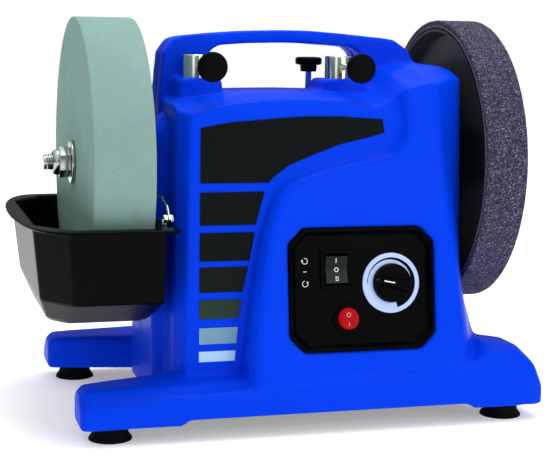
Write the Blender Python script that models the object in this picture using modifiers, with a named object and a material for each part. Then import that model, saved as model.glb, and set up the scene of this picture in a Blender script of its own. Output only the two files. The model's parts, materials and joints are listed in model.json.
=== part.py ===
"""Wet grinding sharpener: two-wheel machine on one slow spindle, in metres, +Z up, front at -Y."""
import math

import bmesh
import bpy
import numpy as np
from mathutils import Euler, Matrix, Vector

MM = 0.001                # lengths below are in millimetres

# Overall
SPINDLE_HEIGHT = 174.0    # spindle axis above the table
TOWER_WIDTH = 201.0       # across the side walls at the spindle
TOWER_DEPTH = 156.0       # front face to rear face
WALL = 3.0                # housing wall
FIT = 0.3                 # gap between neighbouring pieces

# Wheels and spindle
STONE_D, STONE_W = 200.0, 40.0
HONE_D, HONE_W = 205.0, 30.0
BAND_T = 4.5              # radial thickness of the honing band
SHAFT_D = 12.0
NUT_AF = 19.0
NUT_H = 12.0
WASHER_D, WASHER_T = 30.0, 2.5
FLANGE_D, FLANGE_T = 40.0, 3.0
THREAD_END = 6.0          # thread showing beyond each nut
STONE_GAP = 8.0           # stone wheel to the hub column
HONE_GAP = 7.0            # honing wheel to the right side wall

# Support sleeves and clamp screws
BAR_D = 12.0              # support bar that the sleeves take
SLEEVE_D = 19.5
SLEEVE_X = (-71.0, 31.5)
FRONT_SLEEVE_Y = -28.0
SLEEVE_RISE = 15.5        # sleeve above its boss
BOSS_W = 29.0
CLAMP_D = 20.0            # knob head
CLAMP_SCREW_D = 5.0

# Control panel
PANEL_W, PANEL_H = 102.0, 82.0
PANEL_CHAMFER = 10.0
PANEL_X, PANEL_Z = 29.0, 95.5
DIAL_D = 41.0
KNOB_D = 27.0
LEAN = math.radians(8.0)  # the console's face leans back by this much

# Tray and feet
TRAY_WALL = 2.5
FOOT_D = 29.0
FOOT_H = 10.0             # foot showing under the legs
FOOT_AT = ((-140.0, -87.0), (138.0, -87.0), (-140.0, 87.0), (138.0, 87.0))
FOOT_NAMES = ("front_left", "front_right", "rear_left", "rear_right")

# Drive
PULLEY_D, MOTOR_PULLEY_D = 72.0, 24.0
PULLEY_W = 12.0
BELT_T = 2.0
PULLEY_X = -50.0
MOTOR_D, MOTOR_L = 62.0, 92.0
MOTOR_Z = 80.0

KX = TOWER_WIDTH / 201.0
KY = TOWER_DEPTH / 156.0
KZ = SPINDLE_HEIGHT / 174.0
SIDE_L, SIDE_R = -93.0 * KX, 108.0 * KX      # side walls at the spindle
FACE = TOWER_DEPTH / 2.0                     # label face is at -FACE
COLUMN_X = SIDE_L - 11.0                     # hub column's outer face
STONE_IN = COLUMN_X - STONE_GAP
STONE_OUT = STONE_IN - STONE_W
HONE_IN = SIDE_R + HONE_GAP
HONE_OUT = HONE_IN + HONE_W
SPINDLE_L = STONE_OUT - WASHER_T - NUT_H - THREAD_END
SPINDLE_R = HONE_OUT + WASHER_T + NUT_H + THREAD_END
TRAY_LIP = STONE_OUT - 45.0
SHIFT_X = -(TRAY_LIP + SPINDLE_R) / 2.0      # puts the origin under the middle of the whole

for old in list(bpy.data.objects):
    bpy.data.objects.remove(old, do_unlink=True)
MAIN = bpy.data.collections.new("wet_grinding_sharpener")
CUTTERS = bpy.data.collections.new("cutters")
bpy.context.scene.collection.children.link(MAIN)
bpy.context.scene.collection.children.link(CUTTERS)
CUTTERS.hide_render = True


def material(name, rgb, roughness, metallic=0.0):
    made = bpy.data.materials.new(name)
    made.use_nodes = True
    shader = made.node_tree.nodes["Principled BSDF"]
    shader.inputs["Base Color"].default_value = (*rgb, 1.0)
    shader.inputs["Roughness"].default_value = roughness
    shader.inputs["Metallic"].default_value = metallic
    return made


BLUE = material("blue_plastic", (0.0, 0.05, 0.75), 0.35)
BLACK = material("black_plastic", (0.012, 0.012, 0.014), 0.4)
STEEL = material("steel", (0.62, 0.63, 0.62), 0.3, 1.0)
CHROME = material("chrome", (0.8, 0.82, 0.8), 0.15, 1.0)
RUBBER = material("rubber", (0.02, 0.02, 0.02), 0.8)
STONE = material("grinding_stone", (0.25, 0.36, 0.31), 0.95)
BAND = material("honing_band", (0.09, 0.07, 0.12), 0.95)
RED = material("red_plastic", (0.55, 0.0, 0.004), 0.3)
PLATE = material("dial_plate", (0.45, 0.55, 0.8), 0.35, 0.3)
FILM = material("label_film", (0.01, 0.012, 0.012), 0.3)
BOARD = material("circuit_board", (0.02, 0.16, 0.06), 0.5)
MOTOR = material("motor_grey", (0.3, 0.31, 0.33), 0.45, 0.8)


def new_object(name, mesh, paint=None):
    obj = bpy.data.objects.new(name, mesh)
    if paint is None:
        CUTTERS.objects.link(obj)
        obj.hide_render = True
        obj.display_type = "WIRE"
    else:
        MAIN.objects.link(obj)
        mesh.materials.clear()
        mesh.materials.append(paint)
    return obj


def from_bmesh(name, bm, paint=None):
    bmesh.ops.recalc_face_normals(bm, faces=bm.faces)
    mesh = bpy.data.meshes.new(name)
    bm.to_mesh(mesh)
    bm.free()
    return new_object(name, mesh, paint)


def loft(name, rings, paint=None, ladder=False):
    """A closed solid through rings of equal count, each a list of (x, y, z) in millimetres.

    With ladder, each end is closed by rungs between the ring's two sides, which keeps a bent end true."""
    bm = bmesh.new()
    rows = [[bm.verts.new(Vector(p) * MM) for p in ring] for ring in rings]
    count = len(rows[0])
    for low, high in zip(rows, rows[1:]):
        for i in range(count):
            j = (i + 1) % count
            bm.faces.new((low[i], low[j], high[j], high[i]))
    for row in (rows[0][::-1], rows[-1]):
        if not ladder:
            bm.faces.new(row)
            continue
        for i in range(count // 2 - 1):
            bm.faces.new((row[i], row[i + 1], row[count - 2 - i], row[count - 1 - i]))
    return from_bmesh(name, bm, paint)


def box(name, low, high, paint=None):
    bm = bmesh.new()
    bmesh.ops.create_cube(bm, size=1.0)
    for vert in bm.verts:
        vert.co = Vector([(a + b) / 2.0 + v * (b - a) for a, b, v in zip(low, high, vert.co)]) * MM
    return from_bmesh(name, bm, paint)


def turn_to(axis):
    """Rotation that carries +Z onto the named axis."""
    return {"Z": Euler((0, 0, 0)), "X": Euler((0, math.pi / 2, 0)), "Y": Euler((-math.pi / 2, 0, 0)),
            "-Y": Euler((math.pi / 2, 0, 0)), "PANEL": Euler((math.pi / 2 - LEAN, 0, 0))}[axis]


def rod(name, at, axis, radius, length, paint=None, sides=24):
    """A cylinder from `at` along the axis."""
    bm = bmesh.new()
    bmesh.ops.create_cone(bm, cap_ends=True, segments=sides, radius1=radius * MM, radius2=radius * MM,
                          depth=length * MM)
    bmesh.ops.translate(bm, verts=bm.verts, vec=(0, 0, length * MM / 2))
    obj = from_bmesh(name, bm, paint)
    obj.rotation_euler = turn_to(axis)
    obj.location = Vector(at) * MM
    return obj


def turned(name, at, axis, profile, paint=None, steps=24):
    """A turned solid: closed profile of (radius, height), down its outer side first."""
    mesh = bpy.data.meshes.new(name)
    count = len(profile)
    on_axis = [i for i, p in enumerate(profile) if p[0] == 0.0]
    edges = [(i, (i + 1) % count) for i in range(count)]
    if on_axis:
        edges = [e for e in edges if not (profile[e[0]][0] == 0.0 and profile[e[1]][0] == 0.0)]
    mesh.from_pydata([(r * MM, 0, h * MM) for r, h in profile], edges, [])
    obj = new_object(name, mesh, paint)
    spin = obj.modifiers.new("turn", "SCREW")
    spin.steps = spin.render_steps = steps
    spin.use_merge_vertices = True
    spin.merge_threshold = 0.00001
    spin.use_smooth_shade = False
    obj.rotation_euler = turn_to(axis)
    obj.location = Vector(at) * MM
    return obj


def solid(obj):
    """Replaces an object's modifiers, or a curve, by the plain mesh they give."""
    bpy.context.view_layer.update()
    graph = bpy.context.evaluated_depsgraph_get()
    mesh = bpy.data.meshes.new_from_object(obj.evaluated_get(graph))
    bm = bmesh.new()
    bm.from_mesh(mesh)
    bmesh.ops.remove_doubles(bm, verts=bm.verts, dist=0.00001)
    bmesh.ops.dissolve_degenerate(bm, edges=bm.edges, dist=0.00001)
    bmesh.ops.triangulate(bm, faces=bm.faces)
    bm.to_mesh(mesh)
    bm.free()
    mesh.materials.clear()
    for used in obj.data.materials:
        mesh.materials.append(used)
    made = bpy.data.objects.new(obj.name + "_mesh", mesh)
    made.matrix_world = obj.matrix_world
    for home in obj.users_collection:
        home.objects.link(made)
    made.hide_render = obj.hide_render
    made.display_type = obj.display_type
    name = obj.name
    bpy.data.objects.remove(obj, do_unlink=True)
    made.name = name
    return made


def plate(name, outline, depth, paint=None, holes=()):
    """A flat outline in XY, in millimetres, with its depth centred on z = 0."""
    curve = bpy.data.curves.new(name, "CURVE")
    curve.dimensions = "2D"
    curve.fill_mode = "BOTH"
    curve.extrude = depth * MM / 2
    for loop in (outline, *holes):
        spline = curve.splines.new("POLY")
        spline.points.add(len(loop) - 1)
        for point, (x, y) in zip(spline.points, loop):
            point.co = (x * MM, y * MM, 0, 1)
        spline.use_cyclic_u = True
    return solid(new_object(name, curve, paint))


def wire(name, path, radius, paint=None):
    """A round wire through the points."""
    curve = bpy.data.curves.new(name, "CURVE")
    curve.dimensions = "3D"
    curve.bevel_depth = radius * MM
    curve.bevel_resolution = 2
    curve.use_fill_caps = True
    spline = curve.splines.new("POLY")
    spline.points.add(len(path) - 1)
    for point, co in zip(spline.points, path):
        point.co = (*[c * MM for c in co], 1)
    return solid(new_object(name, curve, paint))


def boolean(obj, other, operation="DIFFERENCE"):
    step = obj.modifiers.new(other.name[:40], "BOOLEAN")
    step.operation = operation
    step.solver = "EXACT"
    step.object = other


def ring_outline(radius, count=24, at=(0.0, 0.0)):
    return [(at[0] + radius * math.cos(math.tau * i / count), at[1] + radius * math.sin(math.tau * i / count))
            for i in range(count)]


# Housing, outside ----------------------------------------------------------------------------------
# (height, left wall, right corner, right wall beside the wheel); the corners are chamfered.
TOWER_LEVELS = ((12, -95, 131, 131), (45, -95, 129, 129), (66, -94.7, 121, 113), (92, -94.4, 113.5, 111.5),
                (125, -94, 111.5, 111), (197, -93, 109.5, 109), (262, -92, 107, 107))
CHAMFER_L, CHAMFER_R = 7.0, 16.0
CORNER_Y, WALL_Y = 66.0, 34.0


def tower_ring(level, inset=0.0):
    height, left, corner, wall = level
    left, corner, wall, z = left * KX + inset, corner * KX - inset, wall * KX - inset, height * KZ
    y, yl, yr, yw = FACE - inset, FACE - 12.0, CORNER_Y * KY, WALL_Y * KY
    yr -= inset * 0.5
    half_ring = [(left, -yl, z), (left + CHAMFER_L, -y, z), (corner - CHAMFER_R, -y, z), (corner, -yr, z),
                 (wall, -yw, z)]
    return half_ring + [(px, -py, pz) for px, py, pz in half_ring[::-1]]


def tower_right(z):
    heights, rights = [level[0] for level in TOWER_LEVELS], [level[2] for level in TOWER_LEVELS]
    return float(np.interp(z / KZ, heights, rights)) * KX


# The roof: heights above the spindle along x, near the middle and at the front and rear faces.
ROOF_X = (-130, -95, -86, -72, -56, -35, -5, 25, 44, 52, 63, 76, 98, 110, 150)
ROOF_MID = (40, 44, 46, 48, 50, 51.5, 52, 51.5, 50, 54, 66, 71, 71, 68, 50)
ROOF_SIDE = (38, 43, 45, 47, 48.5, 50, 50.5, 50, 48, 52, 64, 70, 70, 66, 48)
ROOF_EDGE = (30, 34, 37, 41.5, 45, 47.5, 48, 46, 42, 46, 57, 60, 60, 55, 40)
ROOF_Y = ((-130, ROOF_EDGE, -6), (-84, ROOF_EDGE, -1), (-50, ROOF_SIDE, 0), (-15, ROOF_MID, 0),
          (15, ROOF_MID, 0), (50, ROOF_SIDE, 0), (84, ROOF_EDGE, -1), (130, ROOF_EDGE, -6))


def roof_cutter(name, lower=0.0):
    rings = []
    for y, heights, drop in ROOF_Y:
        under = [(x * KX, y * KY, SPINDLE_HEIGHT + h + drop - lower) for x, h in zip(ROOF_X, heights)]
        rings.append(under + [(ROOF_X[-1] * KX, y * KY, 400), (ROOF_X[0] * KX, y * KY, 400)])
    return loft(name, rings)


# The console that stands out of the front: left edge, then right edge, as (x, height over spindle).
CONSOLE_LEFT = ((52, 90), (54, 60), (58, 43), (60.5, 30), (58.5, 20), (52, 13), (42, 10.5), (27, 8), (12, 5),
                (-2, 1), (-15, -4), (-24, -9), (-30, -17), (-34, -28), (-38, -41), (-41, -55), (-44, -72),
                (-47, -96), (-49, -118), (-51, -144))
CONSOLE_RIGHT = ((107, -144), (104, -118), (101, -80), (97, -49), (93, -6), (90, 23), (86, 60), (84, 90))


def console_y(height):
    """Front face of the console at a height over the spindle."""
    return -(FACE + 7.5) - max(0.0, 10.0 - height) * math.tan(LEAN)


def console(name, inset=0.0):
    heights = [h for _, h in CONSOLE_RIGHT]
    rights = [x for x, _ in CONSOLE_RIGHT]
    outline = [(x * KX, h) for x, h in CONSOLE_LEFT]
    outline += [(float(np.interp(h, heights, rights)) * KX, h) for _, h in CONSOLE_LEFT[::-1]]
    rounding = 7.0
    rings = []
    steps = ((1.0, -CORNER_Y * KY), (1.0, None), (0.45, None), (0.12, None), (0.0, None))
    for share, y_fixed in steps:
        ring = []
        for i, (x, h) in enumerate(outline):
            z = SPINDLE_HEIGHT + h * (KZ if h < 0 else 1.0)
            end = i - i % len(CONSOLE_LEFT)      # each side takes its direction from its own points
            before, after = outline[max(i - 1, end)], outline[min(i + 1, end + len(CONSOLE_LEFT) - 1)]
            along = Vector((after[0] - before[0], after[1] - before[1])).normalized()
            inward = Vector((-along.y, along.x))
            front = console_y(h) + (inset + 2.0 if inset else 0.0)
            shift = tower_right(z) - 0.5 - x if end else 0.0
            wall = inset + (2.0 if inset and end else 0.0)
            if y_fixed is not None:
                ring.append((x + shift + inward.x * wall, y_fixed, z + inward.y * wall))
                continue
            move, lift = wall, 0.0
            if not inset:
                move = rounding * (1.0 - share)
                lift = rounding * (1.0 - math.sqrt(max(0.0, 1.0 - share * share)))
            ring.append((x + shift * 0.2 * share + inward.x * move, front + lift,
                         z + inward.y * move))
        rings.append(ring)
    if inset:
        rings = rings[:2]
    return loft(name, rings, ladder=True)


# Base bars: (x, front edge height, ridge height, outer depth, inner depth), one bar in front, one behind.
BAR = ((-162, 22, 30, 105, 74), (-157, 25.5, 34.5, 107, 71), (-99, 30, 36, 108, 58), (-31, 33, 36, 108, 55),
       (12, 36.5, 38, 108, 55), (66, 39.5, 41, 108, 55), (108, 43, 44, 108, 55), (118, 50, 55, 107.5, 58),
       (144, 48, 52, 107, 66), (155, 39, 42, 106, 69), (162, 24, 28, 104, 72))
SKIRT_Z = FOOT_H
BLOCK_L, BLOCK_R, ARCH = -96.0, 109.0, 4.0    # the bottom edge is raised by ARCH between the foot blocks


def bar(name, side, inset=0.0):
    rings = []
    sections = BAR if not inset else BAR[1:-1]
    for i, (x, edge, ridge, outer, inner) in enumerate(sections):
        if inset:
            x += inset if i == 0 else (-inset if i == len(sections) - 1 else 0.0)
        low = SKIRT_Z if not inset else SKIRT_Z - 5
        edge, ridge = edge - inset * 1.2, ridge - inset * 1.2
        outer, inner = (outer - inset) * KY, (inner + inset) * KY
        ring = [(-outer, low), (-outer, edge - 2), (-(outer - 2), edge), (-(outer - 12), ridge),
                (-(inner + 3), ridge), (-inner, ridge - 3), (-inner, low)]
        rings.append([(x * KX, y * -side, z) for y, z in ring])
    return loft(name, rings)


def middle(name, inset=0.0):
    """The base between the bars, which carries the tower."""
    rings = []
    for z, left, right in ((SKIRT_Z if not inset else SKIRT_Z - 5, -95, 131), (36 - inset, -95, 130)):
        left, right, y = left * KX + inset, right * KX - inset, (96 - inset) * KY
        rings.append([(left, -y, z), (right, -y, z), (right, y, z), (left, y, z)])
    return loft(name, rings)


def column(name):
    """The raised column round the spindle on the left side."""
    rings = []
    for z, out, half in ((12, 0, 40), (196, 0, 36), (208, 9, 30)):
        x = COLUMN_X + out
        rings.append([(x, -half * KY, z * KZ), (SIDE_L + 6, -(half + 13) * KY, z * KZ),
                      (SIDE_L + 6, (half + 13) * KY, z * KZ), (x, half * KY, z * KZ)])
    return loft(name, rings)


HANDLE = ((-95, 38), (-93, 62), (-91.5, 77), (-85, 86), (-78, 88), (-55, 90.5), (-33, 92.2), (-5, 93.2),
          (14, 93), (40, 91.2), (70, 88.6), (77, 87.6), (88, 80.5), (96, 66), (98, 50), (53, 30), (53, 72),
          (51.5, 77), (46, 82), (14, 84), (-5, 84.3), (-33, 83.5), (-52, 82), (-58, 78.5), (-61, 73),
          (-61, 30), (-93, 30))
HANDLE_DEPTH = 34.0


def handle(name):
    outline = [(x * KX, -(h + SPINDLE_HEIGHT)) for x, h in HANDLE][::-1]
    made = plate(name, outline, HANDLE_DEPTH)
    made.rotation_euler = (-math.pi / 2, 0, 0)
    return solid(made)


def boss(name, x):
    """The block that carries one upright sleeve."""
    half = BOSS_W / 2
    rings = []
    for z, grow in ((30, 1.5), (58, 0.5), (60, -1.0)):
        rings.append([(x - half - grow, FRONT_SLEEVE_Y - 15 - grow, SPINDLE_HEIGHT + z),
                      (x + half + grow, FRONT_SLEEVE_Y - 15 - grow, SPINDLE_HEIGHT + z),
                      (x + half + grow, -8, SPINDLE_HEIGHT + z), (x - half - grow, -8, SPINDLE_HEIGHT + z)])
    return loft(name, rings)


sleeve_x = [x * KX for x in SLEEVE_X]
roof = roof_cutter("roof_cut")
shell = loft("shell", [tower_ring(level) for level in TOWER_LEVELS], BLUE)
boolean(shell, console("console_add"), "UNION")
boolean(shell, roof)
boolean(shell, bar("bar_front", 1), "UNION")
boolean(shell, bar("bar_rear", -1), "UNION")
boolean(shell, middle("middle_add"), "UNION")
boolean(shell, column("column_add"), "UNION")
boolean(shell, handle("handle_add"), "UNION")
for i, x in enumerate(sleeve_x):
    boolean(shell, boss(f"boss_{i}", x), "UNION")
shell = solid(shell)

# Housing, inside: one hollow, cut from below.
hollow = loft("hollow", [tower_ring(level, WALL) for level in ((5, *TOWER_LEVELS[0][1:]), *TOWER_LEVELS[1:])])
boolean(hollow, console("hollow_console", WALL), "UNION")
boolean(hollow, roof_cutter("hollow_roof", WALL))
boolean(hollow, bar("hollow_front", 1, WALL), "UNION")
boolean(hollow, bar("hollow_rear", -1, WALL), "UNION")
boolean(hollow, middle("hollow_middle", WALL), "UNION")
hollow = solid(hollow)
boolean(shell, hollow)

# Raised bottom edge between the foot blocks.
arch = loft("arch", [[(BLOCK_L * KX + d, 140, z), (BLOCK_R * KX - d, 140, z), (BLOCK_R * KX - d, -140, z),
                      (BLOCK_L * KX + d, -140, z)] for z, d in ((SKIRT_Z - 2, -3.0), (SKIRT_Z + ARCH, 5.0))])
boolean(shell, arch)

# Screw posts, front to rear, clear of the drive.
POSTS = ((-87.0, 46.0), (-22.0, 206.0), (76.0, 219.0), (95.0, 46.0))
POST_D, HOUSING_SCREW_D = 9.0, 4.0
posts = [(x * KX, z * KZ) for x, z in POSTS]
for i, (x, z) in enumerate(posts):
    front = 1.0 - FACE if x < 0 else console_y(z - SPINDLE_HEIGHT) + 1.0
    boolean(shell, rod(f"post_{i}", (x, front, z), "Y", POST_D / 2, FACE - 1.0 - front, sides=16), "UNION")
PLATE_Z, PLATE_T = SKIRT_Z + ARCH + 0.4, 2.5    # bottom plate
FOOT_SCREW_D = 4.0
feet = [(x * KX, y * KY) for x, y in FOOT_AT]
for i, (x, y) in enumerate(feet):
    low = PLATE_Z + PLATE_T + FIT
    boolean(shell, rod(f"foot_boss_{i}", (x, y, low), "Z", 5.0, (33.0 if x < 0 else 50.5) - low, sides=16),
            "UNION")
shell = solid(shell)

# Holes: spindle, upright sleeves, rear sleeves with their clamp screws, panel, cable.
REAR_SLEEVE_Z = SPINDLE_HEIGHT + 31.0
REAR_SLEEVE_Y = 34.0          # inner end of the rear sleeves
REAR_CLAMP_Y = 40.0 + 4.0
boolean(shell, rod("spindle_hole", (COLUMN_X - 5, 0, SPINDLE_HEIGHT), "X", SHAFT_D / 2 + 2, 30))
boolean(shell, rod("spindle_hole_right", (SIDE_R - 12, 0, SPINDLE_HEIGHT), "X", SHAFT_D / 2 + 2, 30))
for i, x in enumerate(sleeve_x):
    boolean(shell, rod(f"sleeve_hole_{i}", (x, FRONT_SLEEVE_Y, SPINDLE_HEIGHT + 20), "Z",
                       SLEEVE_D / 2 + FIT, 60))
    boolean(shell, rod(f"rear_sleeve_hole_{i}", (x, REAR_SLEEVE_Y - 4, REAR_SLEEVE_Z), "Y",
                       SLEEVE_D / 2 + FIT, 70))
    boolean(shell, rod(f"stem_hole_{i}", (x, REAR_CLAMP_Y, REAR_SLEEVE_Z), "Z", CLAMP_SCREW_D / 2 + 1, 40))
for i, (x, z) in enumerate(posts):
    boolean(shell, rod(f"screw_hole_{i}", (x, -20, z), "Y", HOUSING_SCREW_D / 2 + 0.2, 140, sides=16))
    boolean(shell, rod(f"head_hole_{i}", (x, FACE - 4, z), "Y", HOUSING_SCREW_D, 30, sides=16))
for i, (x, y) in enumerate(feet):
    boolean(shell, rod(f"foot_hole_{i}", (x, y, 5), "Z", FOOT_SCREW_D / 2 + 0.2, 21, sides=16))


def octagon(width, height, cut):
    w, h = width / 2, height / 2
    return [(-w, -h + cut), (-w + cut, -h), (w - cut, -h), (w, -h + cut), (w, h - cut), (w - cut, h),
            (-w + cut, h), (-w, h - cut)]


panel_at = Vector((PANEL_X * KX, console_y((PANEL_Z * KZ - SPINDLE_HEIGHT)), PANEL_Z * KZ))
panel_turn = Matrix.Translation(panel_at * MM) @ turn_to("PANEL").to_matrix().to_4x4()


def on_panel(x, y, out=0.0):
    """A point on the panel: right, up and outwards from its middle, in millimetres."""
    return (panel_turn @ (Vector((x, y, out)) * MM)) / MM


panel_hole = plate("panel_hole", octagon(PANEL_W + 2 * FIT, PANEL_H + 2 * FIT, PANEL_CHAMFER), 40.0)
panel_hole.matrix_world = panel_turn
boolean(shell, panel_hole)
GLAND_AT = (60.0 * KX, 60.0 * KZ)
boolean(shell, rod("gland_hole", (GLAND_AT[0], FACE - 15, GLAND_AT[1]), "Y", 6.0 + FIT, 30))
shell = solid(shell)

# The two halves, split front and rear.
half = FIT / 2
for name, low, high in (("front_housing", -200, -half), ("rear_housing", half, 200)):
    piece = shell.copy()
    piece.data = shell.data.copy()
    piece.name = name
    MAIN.objects.link(piece)
    piece.parent = None
    boolean(piece, box(f"{name}_half", (-400, low, -50), (400, high, 500)), "INTERSECT")
    solid(piece)
bpy.data.objects.remove(shell, do_unlink=True)

# Bottom plate, held under the legs by the foot screws.
trim = WALL + FIT + 0.7
legs = BAR[1:-1]
ends = [(x + (trim if i == 0 else (-trim if i == len(legs) - 1 else 0.0)), outer - trim, inner + trim)
        for i, (x, _, _, outer, inner) in enumerate(legs)]
right_in = [(x, inner) for x, _, inner in ends if x > 110][::-1]
left_in = [(x, inner) for x, _, inner in ends if x < -90]
right_wall, left_wall = 131 - trim, -95 + trim
outline = [(x, -y) for x, y, _ in ends] + [(x, -y) for x, y in right_in]
outline += [(right_wall, -right_in[-1][1]), (right_wall, right_in[-1][1])]
outline += [(x, y) for x, y in right_in[::-1]] + [(x, y) for x, y, _ in ends[::-1]]
outline += [(x, y) for x, y in left_in] + [(left_wall, left_in[-1][1]), (left_wall, -left_in[-1][1])]
outline += [(x, -y) for x, y in left_in[::-1]]
bottom = plate("bottom_plate", [(x * KX, y * KY) for x, y in outline], PLATE_T, BLACK,
               holes=[ring_outline(FOOT_SCREW_D / 2 + FIT, 12, at) for at in feet])
bottom.location.z = (PLATE_Z + PLATE_T / 2) * MM

# Feet and their screws.
foot_top = PLATE_Z - FIT
for (x, y), name in zip(feet, FOOT_NAMES):
    bore, r = FOOT_SCREW_D / 2 + FIT, FOOT_D / 2
    turned(f"foot_{name}", (x, y, 0), "Z",
           [(bore, foot_top), (r - 3, foot_top), (r - 2.2, 4), (r, 1.2), (r, 0), (r - 3, 0), (5.5, 0),
            (5.5, 4.5), (bore, 4.5)], RUBBER, 20)
    stem = FOOT_SCREW_D / 2
    turned(f"foot_screw_{name}", (x, y, 0), "Z",
           [(0, 25.0), (stem - 0.3, 25.0), (stem, 24), (stem, 4.2), (4.5, 4.2), (4.5, 2.6), (3.5, 1.8),
            (0, 1.8)], STEEL, 12)

# Housing screws, from the rear.
for i, (x, z) in enumerate(posts):
    deep = FACE - 3.7
    turned(f"housing_screw_{i + 1}", (x, deep, z), "Y",
           [(0, 2.4), (3.0, 2.4), (3.6, 1.6), (3.6, 0), (HOUSING_SCREW_D / 2, 0), (HOUSING_SCREW_D / 2, -90),
            (0, -92)], STEEL, 12)

# Label film on the front face; its tiles are printed.
FILM_T = 0.5
LABEL = ((-78, 28.5), (-58, 32), (-25, 34.8), (-7, 36), (18, 36), (48, 34), (49.5, 25), (38, 22), (18, 17.5),
         (-1, 10.5), (-19, 3), (-30.5, -6), (-35, -15), (-40, -34), (-44, -57), (-49, -81), (-51.5, -99),
         (-54, -127), (-79, -128))
label = plate("label_film", [(x * KX, -(h * (KZ if h < 0 else 1.0))) for x, h in LABEL], FILM_T, FILM)
label.rotation_euler = (-math.pi / 2, 0, 0)
label.location = Vector((0, -FACE - FILM_T / 2 - FIT / 2, SPINDLE_HEIGHT)) * MM

# Control panel: a dished plate with a floor 3.5 mm down, set on the leaning console.
FLOOR, PANEL_BACK, PANEL_RIM = -3.5, -6.5, 0.8
ROCKER_AT, ROCKER_W, ROCKER_H = (-18.0, 13.5), 15.5, 20.0
POWER_AT, POWER_D = (-10.0, -20.0), 14.8
DIAL_AT = (21.0, 3.5)


def place(obj, x, y, out=0.0):
    obj.matrix_world = panel_turn @ Matrix.Translation(Vector((x, y, out)) * MM)
    return obj


def prism(name, outline, low, high, paint=None, grow=0.0):
    """A straight or flared prism along z through one outline."""
    return loft(name, [[(x, y, low) for x, y in outline],
                       [(x * (1 + grow), y * (1 + grow), high) for x, y in outline]], paint)


panel = place(prism("control_panel", octagon(PANEL_W, PANEL_H, PANEL_CHAMFER), PANEL_BACK, PANEL_RIM,
                    BLACK), 0, 0)
dish = [[(x, y, z) for x, y in octagon(PANEL_W - cut, PANEL_H - cut, PANEL_CHAMFER - 1)]
        for z, cut in ((FLOOR, 9.0), (PANEL_RIM + 1, 2.0))]
boolean(panel, place(loft("dish", dish), 0, 0))
sleeve_w, sleeve_h = ROCKER_W + 3.0, ROCKER_H + 3.4


def rectangle(width, height):
    x, y = width / 2, height / 2
    return [(-x, -y), (x, -y), (x, y), (-x, y)]


boolean(panel, place(prism("rocker_opening", rectangle(sleeve_w + 2 * FIT, sleeve_h + 2 * FIT), -20, 5),
                     *ROCKER_AT))
boolean(panel, place(prism("power_opening", ring_outline(POWER_D / 2 + 1.6 + FIT), -20, 5), *POWER_AT))
boolean(panel, place(prism("shaft_opening", ring_outline(3.0 + 0.6, 24), -20, 5), *DIAL_AT))
panel = solid(panel)

# Direction rocker in its bezel; it rests in the middle.
bezel = place(prism("direction_bezel", rectangle(sleeve_w + 3.0, sleeve_h + 3.0), FLOOR + FIT, FLOOR + 1.8,
                    BLACK), *ROCKER_AT)
boolean(bezel, place(prism("bezel_sleeve", rectangle(sleeve_w, sleeve_h), -18, FLOOR + 1), *ROCKER_AT),
        "UNION")
boolean(bezel, place(prism("bezel_pocket", rectangle(ROCKER_W + 0.7, ROCKER_H + 1.0), -16, 10), *ROCKER_AT))
bezel = solid(bezel)
PIVOT = FLOOR - 1.0
half_h = ROCKER_H / 2
side_view = ((-half_h + 0.9, 4.6), (0, 2.6), (half_h - 0.9, 4.6), (half_h - 1.6, -3), (-half_h + 1.6, -3))
rocker = loft("direction_rocker",
              [[(x, y, z) for y, z in side_view] for x in (-ROCKER_W / 2, ROCKER_W / 2)], BLACK)
place(rocker, *ROCKER_AT, PIVOT)

# Round power rocker, resting in the off position.
bezel = place(prism("power_bezel", ring_outline(POWER_D / 2 + 3.0), FLOOR + FIT, FLOOR + 1.6, BLACK),
              *POWER_AT)
boolean(bezel, place(prism("power_sleeve", ring_outline(POWER_D / 2 + 1.6), -18, FLOOR + 1), *POWER_AT),
        "UNION")
boolean(bezel, place(prism("power_pocket", ring_outline(POWER_D / 2 + 0.55), -16, 10), *POWER_AT))
bezel = solid(bezel)
TILT = math.radians(-8.0)
power = loft("power_rocker", [[(x, y, -3.0) for x, y in ring_outline(POWER_D / 2 - 0.4)],
                              [(x, y, 3.0 + 0.1 * abs(y)) for x, y in ring_outline(POWER_D / 2)]], RED)
power.matrix_world = (panel_turn @ Matrix.Translation(Vector((*POWER_AT, PIVOT)) * MM)
                      @ Matrix.Rotation(TILT, 4, "X"))

# Speed control: dial plate, knob with its shaft, potentiometer, board.
turned("dial_plate", on_panel(*DIAL_AT, FLOOR + FIT), "PANEL",
       [(3.6, 0.9), (DIAL_D / 2 - 0.4, 0.9), (DIAL_D / 2, 0.5), (DIAL_D / 2, 0), (3.6, 0)], PLATE, 36)
knob_r = KNOB_D / 2
knob = turned("speed_knob", on_panel(*DIAL_AT, FLOOR + FIT + 0.9 + FIT), "PANEL",
              [(0, 5.5), (knob_r - 1.8, 5.5), (knob_r - 0.6, 4.4), (knob_r, 0), (3.0, 0), (3.0, -9), (0, -9)],
              BLACK, 28)
grip = place(loft("knob_grip", [[(-knob_r + 1.2, -3.6, 3), (knob_r - 1.5, -4.6, 3), (knob_r - 1.5, 4.6, 3),
                                 (-knob_r + 1.2, 3.6, 3)],
                                [(-knob_r + 2.5, -1.8, 12), (knob_r - 3, -3.4, 13), (knob_r - 3, 3.4, 13),
                                 (-knob_r + 2.5, 1.8, 12)]]), *DIAL_AT, FLOOR + FIT + 0.9 + FIT)
POINTER = math.radians(-12.0)
grip.matrix_world = grip.matrix_world @ Matrix.Rotation(POINTER, 4, "Z")
boolean(knob, grip, "UNION")
turned("potentiometer", on_panel(*DIAL_AT, -24.0), "PANEL",
       [(3.6, 16.5), (5.0, 16.5), (5.0, 11), (8.5, 11), (8.5, 0), (0, 0), (0, 5), (3.6, 5)], STEEL, 20)
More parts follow.
